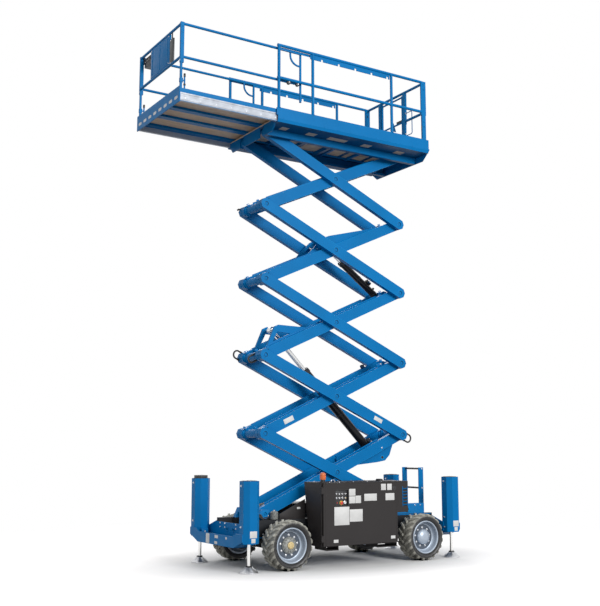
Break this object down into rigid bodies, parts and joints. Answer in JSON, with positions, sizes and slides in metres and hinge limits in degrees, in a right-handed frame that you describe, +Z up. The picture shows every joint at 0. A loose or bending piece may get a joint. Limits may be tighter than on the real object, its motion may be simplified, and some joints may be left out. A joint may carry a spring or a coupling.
{
  "type": "rough-terrain scissor lift",
  "caption": "Rough-terrain scissor lift: wheeled chassis with outriggers, stacked crossed arms, hydraulic cylinders and a railed platform with a sliding extension deck.",
  "frame": {"origin": "on the ground, midway between the axles and between the wheels", "axes": "+X towards the steering end and the extension deck, +Y to the machine's left, +Z up"},
  "size_m": [4.721, 1.754, 7.3663],
  "materials": {
    "blue_paint": "gloss",
    "black_paint": "satin",
    "tyre_rubber": "matt",
    "rim_paint": "satin",
    "chrome_rod": "polished",
    "pad_alloy": "satin",
    "deck_plywood": "matt",
    "alloy_beam": "satin",
    "axle_paint": "satin",
    "amber_lens": "gloss",
    "black_plastic": "matt",
    "cylinder_black": "gloss"
  },
  "bodies": {
    "chassis": {"chassis_frame": "axle_paint", "front_axle": "axle_paint", "rear_axle": "axle_paint", "tray_left": "black_paint", "tray_right": "black_paint", "engine_block": "axle_paint", "front_bumper": "blue_paint", "rear_bumper": "blue_paint", "front_columns": "blue_paint", "rear_columns": "blue_paint", "lifting_pockets_left": "black_paint", "lifting_pockets_right": "black_paint", "ladder": "blue_paint", "beacon": "amber_lens"},
    "inner_1": {"inner_arm_1": "blue_paint"},
    "outer_1": {"outer_arm_1": "blue_paint"},
    "inner_2": {"inner_arm_2": "blue_paint"},
    "outer_2": {"outer_arm_2": "blue_paint"},
    "inner_3": {"inner_arm_3": "blue_paint"},
    "outer_3": {"outer_arm_3": "blue_paint"},
    "inner_4": {"inner_arm_4": "blue_paint"},
    "outer_4": {"outer_arm_4": "blue_paint"},
    "inner_5": {"inner_arm_5": "blue_paint"},
    "outer_5": {"outer_arm_5": "blue_paint"},
    "lower_barrel": {"lower_cylinder_barrel": "cylinder_black"},
    "lower_rod": {"lower_cylinder_rod": "chrome_rod"},
    "upper_barrel": {"upper_cylinder_barrel": "cylinder_black"},
    "upper_rod": {"upper_cylinder_rod": "chrome_rod"},
    "platform": {"platform_frame": "blue_paint", "platform_floor": "deck_plywood", "rails_left": "blue_paint", "rails_right": "blue_paint", "rails_rear": "blue_paint"},
    "gate": {"entry_gate": "blue_paint"},
    "extension": {"extension_frame": "blue_paint", "extension_beams": "alloy_beam", "extension_floor": "deck_plywood", "extension_rails_left": "blue_paint", "extension_rails_right": "blue_paint", "extension_rails_front": "blue_paint", "document_box": "blue_paint", "control_box": "black_plastic"},
    "door_left": {"tray_door_left": "black_paint"},
    "steer_left": {"knuckle_left": "axle_paint"},
    "door_right": {"tray_door_right": "black_paint"},
    "steer_right": {"knuckle_right": "axle_paint"},
    "tie": {"tie_rod": "chrome_rod"},
    "wheel_front_left": {"tyre_front_left": "tyre_rubber", "rim_front_left": "rim_paint"},
    "leg_front_left": {"outrigger_front_left": "pad_alloy"},
    "wheel_front_right": {"tyre_front_right": "tyre_rubber", "rim_front_right": "rim_paint"},
    "leg_front_right": {"outrigger_front_right": "pad_alloy"},
    "wheel_rear_left": {"tyre_rear_left": "tyre_rubber", "rim_rear_left": "rim_paint"},
    "leg_rear_left": {"outrigger_rear_left": "pad_alloy"},
    "wheel_rear_right": {"tyre_rear_right": "tyre_rubber", "rim_rear_right": "rim_paint"},
    "leg_rear_right": {"outrigger_rear_right": "pad_alloy"}
  },
  "joints": [
    {"name": "lift", "type": "hinge", "parent": "chassis", "child": "inner_1", "pos_m": [1.267, 0, 0.718], "axis": [0, 1, 0], "range_deg": [-19.2, 34.3]},
    {"name": "cross_1", "type": "hinge", "parent": "inner_1", "child": "outer_1", "pos_m": [0.05749, 0, 1.26513], "axis": [0, 1, 0], "range_deg": [-68.74, 38.48]},
    {"name": "rear_pin_1", "type": "hinge", "parent": "inner_1", "child": "outer_2", "pos_m": [-1.15201, 0, 1.81226], "axis": [0, 1, 0], "range_deg": [-68.74, 38.48]},
    {"name": "cross_2", "type": "hinge", "parent": "outer_2", "child": "inner_2", "pos_m": [0.05749, 0, 2.35939], "axis": [0, 1, 0], "range_deg": [-38.48, 68.74]},
    {"name": "front_pin_2", "type": "hinge", "parent": "outer_2", "child": "inner_3", "pos_m": [1.267, 0, 2.90652], "axis": [0, 1, 0], "range_deg": [-38.48, 68.74]},
    {"name": "cross_3", "type": "hinge", "parent": "inner_3", "child": "outer_3", "pos_m": [0.05749, 0, 3.45365], "axis": [0, 1, 0], "range_deg": [-68.74, 38.48]},
    {"name": "rear_pin_3", "type": "hinge", "parent": "inner_3", "child": "outer_4", "pos_m": [-1.15201, 0, 4.00078], "axis": [0, 1, 0], "range_deg": [-68.74, 38.48]},
    {"name": "cross_4", "type": "hinge", "parent": "outer_4", "child": "inner_4", "pos_m": [0.05749, 0, 4.54791], "axis": [0, 1, 0], "range_deg": [-38.48, 68.74]},
    {"name": "front_pin_4", "type": "hinge", "parent": "outer_4", "child": "inner_5", "pos_m": [1.267, 0, 5.09504], "axis": [0, 1, 0], "range_deg": [-38.48, 68.74]},
    {"name": "cross_5", "type": "hinge", "parent": "inner_5", "child": "outer_5", "pos_m": [0.05749, 0, 5.64217], "axis": [0, 1, 0], "range_deg": [-68.74, 38.48]},
    {"name": "platform_pin", "type": "hinge", "parent": "outer_5", "child": "platform", "pos_m": [1.267, 0, 6.1893], "axis": [0, 1, 0], "range_deg": [-19.24, 34.37]},
    {"name": "lower_cylinder_pin", "type": "hinge", "parent": "inner_1", "child": "lower_barrel", "pos_m": [-0.87514, 0, 1.47079], "axis": [0, 1, 0], "range_deg": [-65.05, 36.41]},
    {"name": "lower_cylinder_slide", "type": "slide", "parent": "lower_barrel", "child": "lower_rod", "axis": [0.7105, 0, 0.7037], "range_m": [-0.56242, 1.00474]},
    {"name": "upper_cylinder_pin", "type": "hinge", "parent": "inner_3", "child": "upper_barrel", "pos_m": [-0.92684, 0, 3.96477], "axis": [0, 1, 0], "range_deg": [-65.29, 36.55]},
    {"name": "upper_cylinder_slide", "type": "slide", "parent": "upper_barrel", "child": "upper_rod", "axis": [0.8079, 0, 0.5893], "range_m": [-0.15546, 0.27773]},
    {"name": "extension_slide", "type": "slide", "parent": "platform", "child": "extension", "axis": [-1, 0, 0], "range_m": [0, 1.5]},
    {"name": "gate_hinge", "type": "hinge", "parent": "platform", "child": "gate", "pos_m": [-1.376, -0.342, 6.9], "axis": [0, 0, -1], "range_deg": [0, 90]},
    {"name": "door_left_hinge", "type": "hinge", "parent": "chassis", "child": "door_left", "pos_m": [0.68, 0.868, 0.7], "axis": [0, 0, -1], "range_deg": [0, 105]},
    {"name": "door_right_hinge", "type": "hinge", "parent": "chassis", "child": "door_right", "pos_m": [0.68, -0.868, 0.7], "axis": [0, 0, 1], "range_deg": [0, 105]},
    {"name": "steer_left_pin", "type": "hinge", "parent": "chassis", "child": "steer_left", "pos_m": [1.145, 0.56, 0.33], "axis": [0, 0, 1], "range_deg": [-25, 25]},
    {"name": "steer_right_pin", "type": "hinge", "parent": "chassis", "child": "steer_right", "pos_m": [1.145, -0.56, 0.33], "axis": [0, 0, 1], "range_deg": [-25.1, 25.1]},
    {"name": "tie_rod_slide", "type": "slide", "parent": "chassis", "child": "tie", "axis": [0, 1, 0], "range_m": [-0.066, 0.066]},
    {"name": "wheel_front_left_spin", "type": "hinge", "parent": "steer_left", "child": "wheel_front_left", "pos_m": [1.145, 0.725, 0.33], "axis": [0, 1, 0], "continuous": true},
    {"name": "leg_front_left_slide", "type": "slide", "parent": "chassis", "child": "leg_front_left", "axis": [0, 0, 1], "range_m": [-0.33, 0.27]},
    {"name": "wheel_front_right_spin", "type": "hinge", "parent": "steer_right", "child": "wheel_front_right", "pos_m": [1.145, -0.725, 0.33], "axis": [0, 1, 0], "continuous": true},
    {"name": "leg_front_right_slide", "type": "slide", "parent": "chassis", "child": "leg_front_right", "axis": [0, 0, 1], "range_m": [-0.33, 0.27]},
    {"name": "wheel_rear_left_spin", "type": "hinge", "parent": "chassis", "child": "wheel_rear_left", "pos_m": [-1.145, 0.725, 0.33], "axis": [0, 1, 0], "continuous": true},
    {"name": "leg_rear_left_slide", "type": "slide", "parent": "chassis", "child": "leg_rear_left", "axis": [0, 0, 1], "range_m": [-0.33, 0.27]},
    {"name": "wheel_rear_right_spin", "type": "hinge", "parent": "chassis", "child": "wheel_rear_right", "pos_m": [-1.145, -0.725, 0.33], "axis": [0, 1, 0], "continuous": true},
    {"name": "leg_rear_right_slide", "type": "slide", "parent": "chassis", "child": "leg_rear_right", "axis": [0, 0, 1], "range_m": [-0.33, 0.27]}
  ],
  "couplings": [
    {"joint": "cross_1", "follows": "lift", "ratio": -2},
    {"joint": "rear_pin_1", "follows": "lift", "ratio": -2},
    {"joint": "cross_2", "follows": "lift", "ratio": 2},
    {"joint": "front_pin_2", "follows": "lift", "ratio": 2},
    {"joint": "cross_3", "follows": "lift", "ratio": -2},
    {"joint": "rear_pin_3", "follows": "lift", "ratio": -2},
    {"joint": "cross_4", "follows": "lift", "ratio": 2},
    {"joint": "front_pin_4", "follows": "lift", "ratio": 2},
    {"joint": "cross_5", "follows": "lift", "ratio": -2},
    {"joint": "platform_pin", "follows": "lift", "ratio": 1},
    {"joint": "lower_cylinder_pin", "follows": "lift", "ratio": -1.8927},
    {"joint": "lower_cylinder_slide", "follows": "lift", "m_per_rad": 1.675},
    {"joint": "upper_cylinder_pin", "follows": "lift", "ratio": -1.8998},
    {"joint": "upper_cylinder_slide", "follows": "lift", "m_per_rad": 0.463},
    {"joint": "steer_right_pin", "follows": "steer_left_pin", "ratio": 1},
    {"joint": "tie_rod_slide", "follows": "steer_left_pin", "m_per_rad": -0.1457}
  ]
}
